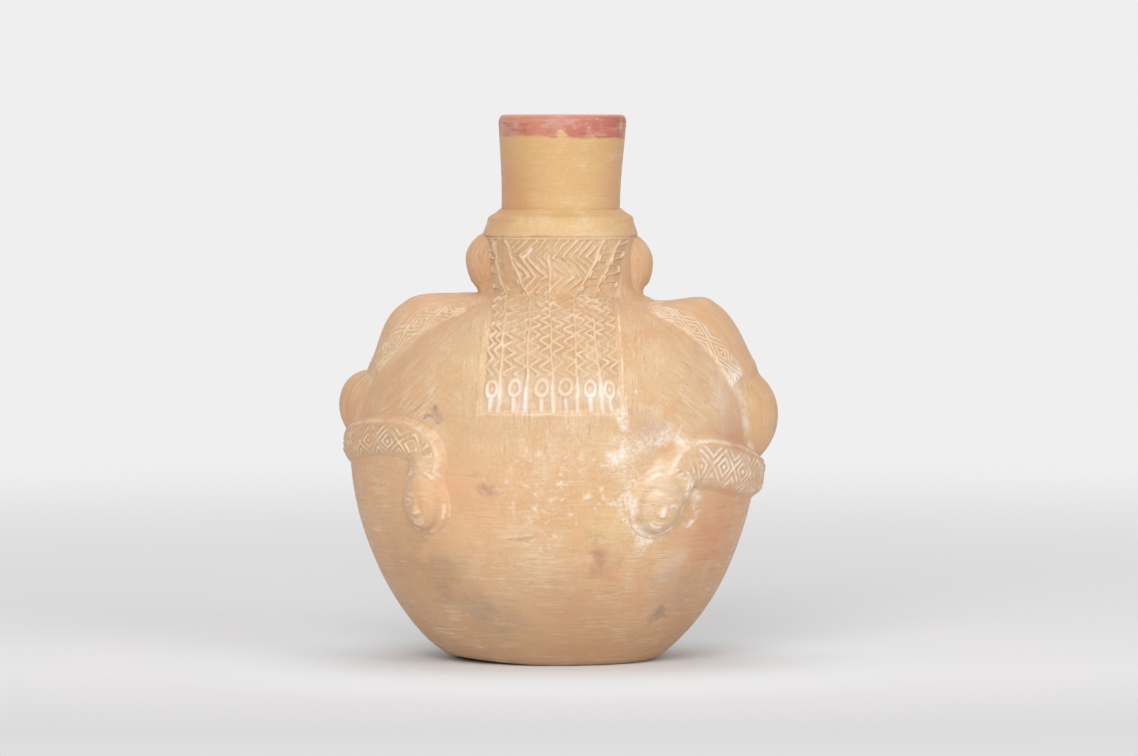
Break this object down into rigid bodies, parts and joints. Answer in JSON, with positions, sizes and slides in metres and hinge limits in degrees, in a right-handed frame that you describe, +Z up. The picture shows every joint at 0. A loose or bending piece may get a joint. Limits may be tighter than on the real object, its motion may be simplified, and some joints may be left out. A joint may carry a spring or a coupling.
{
  "type": "figural jar",
  "caption": "Hollow clay jar shaped as a standing figure, with a tall spout above the headband, luted arms and belt, and a flat oval foot to stand on.",
  "frame": {"origin": "centre of the flat foot, on the surface that the jar stands on", "axes": "+Z up along the jar, +Y the way the figure looks, +X to the figure's right"},
  "size_m": [0.1944, 0.1518, 0.24],
  "materials": {
    "burnished_clay": "burnished, unglazed",
    "relief_clay": "pressed relief with pale lime in its hollows",
    "red_slip": "worn red slip"
  },
  "bodies": {
    "root": {"foot_slab": "burnished_clay", "belly_front_half": "burnished_clay", "belly_back_half": "burnished_clay", "head_front_half": "burnished_clay", "head_back_half": "burnished_clay", "headband_ring": "burnished_clay", "spout_tube": "burnished_clay", "rim_band": "red_slip", "ear_left": "burnished_clay", "ear_right": "burnished_clay", "face": "burnished_clay", "headcloth": "relief_clay", "sleeve_left": "burnished_clay", "sleeve_right": "burnished_clay", "sleeve_band_left": "relief_clay", "sleeve_band_right": "relief_clay", "forearm_left": "burnished_clay", "forearm_right": "burnished_clay", "hand_left": "burnished_clay", "hand_right": "burnished_clay", "belt_left": "relief_clay", "belt_right": "relief_clay", "belt_head_left": "relief_clay", "belt_head_right": "relief_clay"}
  },
  "joints": []
}
